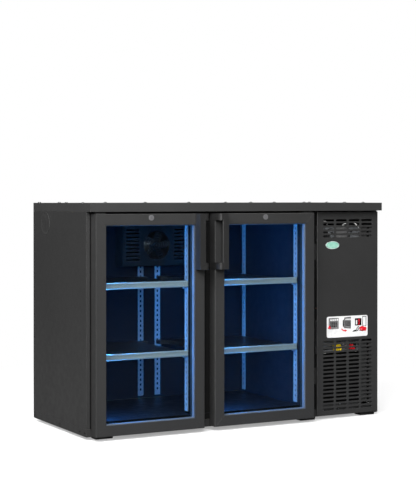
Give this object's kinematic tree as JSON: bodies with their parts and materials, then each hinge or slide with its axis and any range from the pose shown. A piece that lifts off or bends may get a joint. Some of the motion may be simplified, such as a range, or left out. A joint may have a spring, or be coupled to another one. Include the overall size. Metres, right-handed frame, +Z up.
{
  "type": "undercounter refrigerator",
  "caption": "Low black bottle refrigerator with glass doors on the left, a slotted service panel on the right and a flat worktop.",
  "frame": {"origin": "bottom centre of the whole object, at the underside of the feet", "axes": "+X along the width towards the machine compartment, +Y towards the back, +Z up; the doors face -Y"},
  "size_m": [1.284, 0.61, 0.863],
  "materials": {
    "black_shell": "satin black powder coat",
    "worktop_paint": "satin black powder coat",
    "dark_screws": "black zinc",
    "plug_plastic": "matt",
    "feet_plastic": "matt",
    "face_frame_black": "matt black",
    "foam": "cut rigid foam",
    "liner_sheet": "smooth coated sheet",
    "galvanised_sheet": "galvanised",
    "standard_steel": "bright rolled",
    "shelf_sheet": "coated",
    "rail_aluminium": "anodised",
    "led_lens": "diffusing",
    "cover_sheet": "coated",
    "coil_fins": "mill finish fins",
    "fan_motor_metal": "painted",
    "fan_plastic": "moulded",
    "fan_blade_metal": "pressed",
    "shroud_sheet": "matt black",
    "bracket_steel": "black",
    "compressor_paint": "gloss black enamel",
    "mount_rubber": "moulded",
    "copper": "drawn copper tube",
    "box_plastic": "moulded",
    "inlet_plastic": "moulded",
    "panel_paint": "satin black powder coat",
    "badge_enamel": "domed",
    "label_film": "printed film",
    "door_paint": "satin black powder coat",
    "door_glass": "clear",
    "spacer_aluminium": "bright",
    "gasket_rubber": "extruded",
    "handle_paint": "satin black",
    "lock_chrome": "polished"
  },
  "bodies": {
    "cabinet": {"left_side_panel": "black_shell", "right_side_panel": "black_shell", "back_panel": "black_shell", "machine_back_cover": "black_shell", "base_frame": "black_shell", "worktop": "worktop_paint", "worktop_screws": "dark_screws", "cabinet_screws": "dark_screws", "knockout_plug": "plug_plastic", "feet": "feet_plastic", "face_frame": "face_frame_black", "insulation": "foam", "liner": "liner_sheet", "bulkhead_panel": "galvanised_sheet", "drip_tray": "galvanised_sheet", "shelf_standards": "standard_steel", "shelf_clips": "standard_steel", "shelf_left_lower": "shelf_sheet", "shelf_left_upper": "shelf_sheet", "shelf_right_lower": "shelf_sheet", "shelf_right_upper": "shelf_sheet", "shelf_rails": "rail_aluminium", "led_strips": "led_lens", "evaporator_cover": "cover_sheet", "evaporator_coil": "coil_fins", "condenser_coil": "coil_fins", "evaporator_fan_motor": "fan_motor_metal", "condenser_fan_motor": "fan_motor_metal", "fan_shroud": "shroud_sheet", "hinge_brackets": "bracket_steel", "panel_hinges": "bracket_steel", "panel_catches": "bracket_steel", "compressor": "compressor_paint", "compressor_mounts": "mount_rubber", "filter_drier": "copper", "refrigerant_pipes": "copper", "electrical_box": "box_plastic", "control_box": "box_plastic", "power_inlet": "inlet_plastic"},
    "service_panel": {"service_panel": "panel_paint", "panel_badge": "badge_enamel", "panel_label": "label_film"},
    "left_door": {"left_door_frame": "door_paint", "left_outer_glass": "door_glass", "left_inner_glass": "door_glass", "left_glass_spacer": "spacer_aluminium", "left_gasket": "gasket_rubber", "left_handle": "handle_paint", "left_lock_housing": "lock_chrome"},
    "left_lock": {"left_lock_plug": "lock_chrome"},
    "right_door": {"right_door_frame": "door_paint", "right_outer_glass": "door_glass", "right_inner_glass": "door_glass", "right_glass_spacer": "spacer_aluminium", "right_gasket": "gasket_rubber", "right_handle": "handle_paint", "right_lock_housing": "lock_chrome"},
    "right_lock": {"right_lock_plug": "lock_chrome"},
    "condenser_fan": {"condenser_fan_blade": "fan_blade_metal"},
    "evaporator_fan": {"evaporator_fan_blade": "fan_plastic"}
  },
  "joints": [
    {"name": "left_door_swing", "type": "hinge", "parent": "cabinet", "child": "left_door", "pos_m": [-0.61, -0.2455, 0.418], "axis": [0, 0, -1], "range_deg": [0, 110]},
    {"name": "right_door_swing", "type": "hinge", "parent": "cabinet", "child": "right_door", "pos_m": [0.294, -0.2455, 0.418], "axis": [0, 0, 1], "range_deg": [0, 110]},
    {"name": "left_lock_turn", "type": "hinge", "parent": "left_door", "child": "left_lock", "pos_m": [-0.402, -0.259, 0.806], "axis": [0, -1, 0], "range_deg": [0, 90]},
    {"name": "right_lock_turn", "type": "hinge", "parent": "right_door", "child": "right_lock", "pos_m": [0.086, -0.259, 0.806], "axis": [0, 1, 0], "range_deg": [0, 90]},
    {"name": "service_panel_swing", "type": "hinge", "parent": "cabinet", "child": "service_panel", "pos_m": [0.6355, -0.2225, 0.418], "axis": [0, 0, 1], "range_deg": [0, 100]},
    {"name": "condenser_fan_spin", "type": "hinge", "parent": "cabinet", "child": "condenser_fan", "pos_m": [0.48165, -0.122, 0.136], "axis": [0, 1, 0], "continuous": true},
    {"name": "evaporator_fan_spin", "type": "hinge", "parent": "cabinet", "child": "evaporator_fan", "pos_m": [-0.158, 0.187, 0.688], "axis": [0, 1, 0], "continuous": true}
  ]
}
